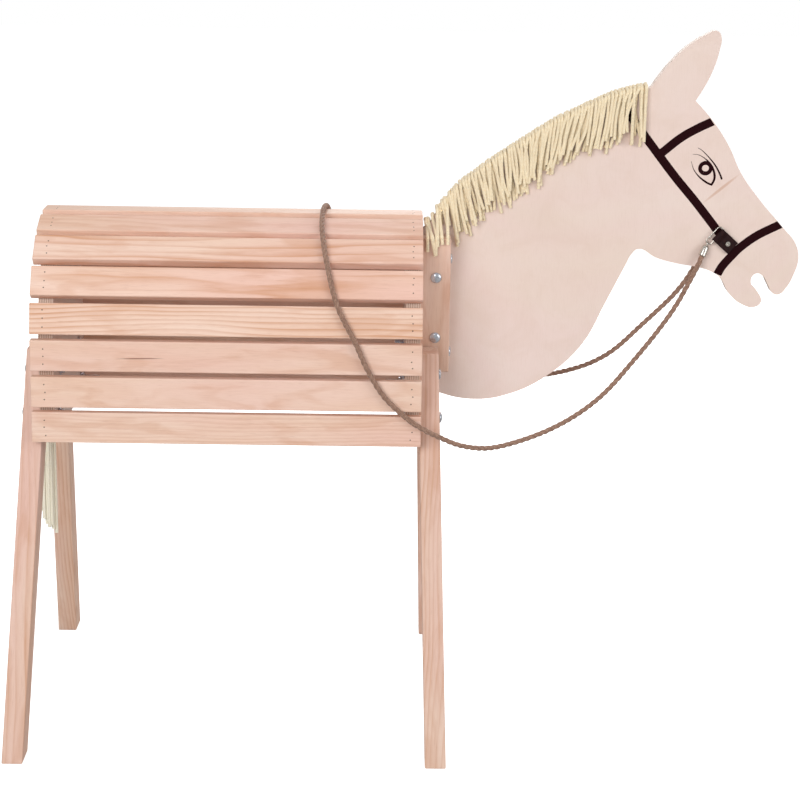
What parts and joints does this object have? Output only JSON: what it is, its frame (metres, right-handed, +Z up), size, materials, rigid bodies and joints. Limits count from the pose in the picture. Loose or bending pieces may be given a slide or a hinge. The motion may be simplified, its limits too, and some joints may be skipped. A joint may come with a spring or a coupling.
{
  "type": "wooden garden riding horse",
  "caption": "Slatted wooden riding horse on splayed legs, with a flat plywood head, yarn mane and tail, and a rope rein clipped to both sides of the mouth.",
  "frame": {"origin": "on the floor under the middle of the bounding box, on the plane of symmetry", "axes": "+X forwards, towards the muzzle; +Y to the horse's left; +Z up"},
  "size_m": [1.156, 0.595, 1.0316],
  "materials": {
    "slat_pine": "planed, clear matt oil",
    "leg_pine": "planed, clear matt oil",
    "birch_plywood": "sanded veneer, clear matt lacquer, dark printed halter and eye",
    "zinc_plate": "bright zinc plate",
    "nickel_plate": "polished nickel plate",
    "strap_webbing": "close woven webbing",
    "yarn": "soft thick cotton yarn",
    "rein_cord": "laid three-strand rope"
  },
  "bodies": {
    "frame": {"slat_ridge": "slat_pine", "slat_right_1": "slat_pine", "slat_right_2": "slat_pine", "slat_right_3": "slat_pine", "slat_right_4": "slat_pine", "slat_right_5": "slat_pine", "slat_right_6": "slat_pine", "slat_right_7": "slat_pine", "slat_left_1": "slat_pine", "slat_left_2": "slat_pine", "slat_left_3": "slat_pine", "slat_left_4": "slat_pine", "slat_left_5": "slat_pine", "slat_left_6": "slat_pine", "slat_left_7": "slat_pine", "former_front": "birch_plywood", "former_rear": "birch_plywood", "head_board": "birch_plywood", "leg_front_right": "leg_pine", "leg_front_left": "leg_pine", "leg_rear_right": "leg_pine", "leg_rear_left": "leg_pine", "neck_block_right": "leg_pine", "neck_block_left": "leg_pine", "leg_bolt_front_right_upper": "zinc_plate", "leg_bolt_front_right_lower": "zinc_plate", "leg_bolt_front_left_upper": "zinc_plate", "leg_bolt_front_left_lower": "zinc_plate", "leg_bolt_rear_right_upper": "zinc_plate", "leg_bolt_rear_right_lower": "zinc_plate", "leg_bolt_rear_left_upper": "zinc_plate", "leg_bolt_rear_left_lower": "zinc_plate", "leg_nut_front_right_upper": "zinc_plate", "leg_nut_front_right_lower": "zinc_plate", "leg_nut_front_left_upper": "zinc_plate", "leg_nut_front_left_lower": "zinc_plate", "leg_nut_rear_right_upper": "zinc_plate", "leg_nut_rear_right_lower": "zinc_plate", "leg_nut_rear_left_upper": "zinc_plate", "leg_nut_rear_left_lower": "zinc_plate", "neck_cross_bolt_upper": "zinc_plate", "neck_cross_bolt_lower": "zinc_plate", "neck_block_bolt_right_upper": "zinc_plate", "neck_block_bolt_right_lower": "zinc_plate", "neck_block_bolt_left_upper": "zinc_plate", "neck_block_bolt_left_lower": "zinc_plate", "mane": "yarn", "tail": "yarn", "strap_loop_right": "strap_webbing", "strap_rivet_right": "nickel_plate", "snap_hook_right": "nickel_plate", "rein_ferrule_right": "nickel_plate", "strap_loop_left": "strap_webbing", "strap_rivet_left": "nickel_plate", "snap_hook_left": "nickel_plate", "rein_ferrule_left": "nickel_plate", "rein_rope": "rein_cord"},
    "gate_right": {"snap_gate_right": "nickel_plate"},
    "gate_left": {"snap_gate_left": "nickel_plate"}
  },
  "joints": [
    {"name": "snap_gate_right_hinge", "type": "hinge", "parent": "frame", "child": "gate_right", "pos_m": [0.44157, -0.0139, 0.72849], "axis": [0, 1, 0], "range_deg": [0, 12], "stiffness_Nm_per_rad": 0.02, "springref_deg": -5.73},
    {"name": "snap_gate_left_hinge", "type": "hinge", "parent": "frame", "child": "gate_left", "pos_m": [0.44157, 0.0139, 0.72849], "axis": [0, 1, 0], "range_deg": [0, 12], "stiffness_Nm_per_rad": 0.02, "springref_deg": -5.73}
  ]
}
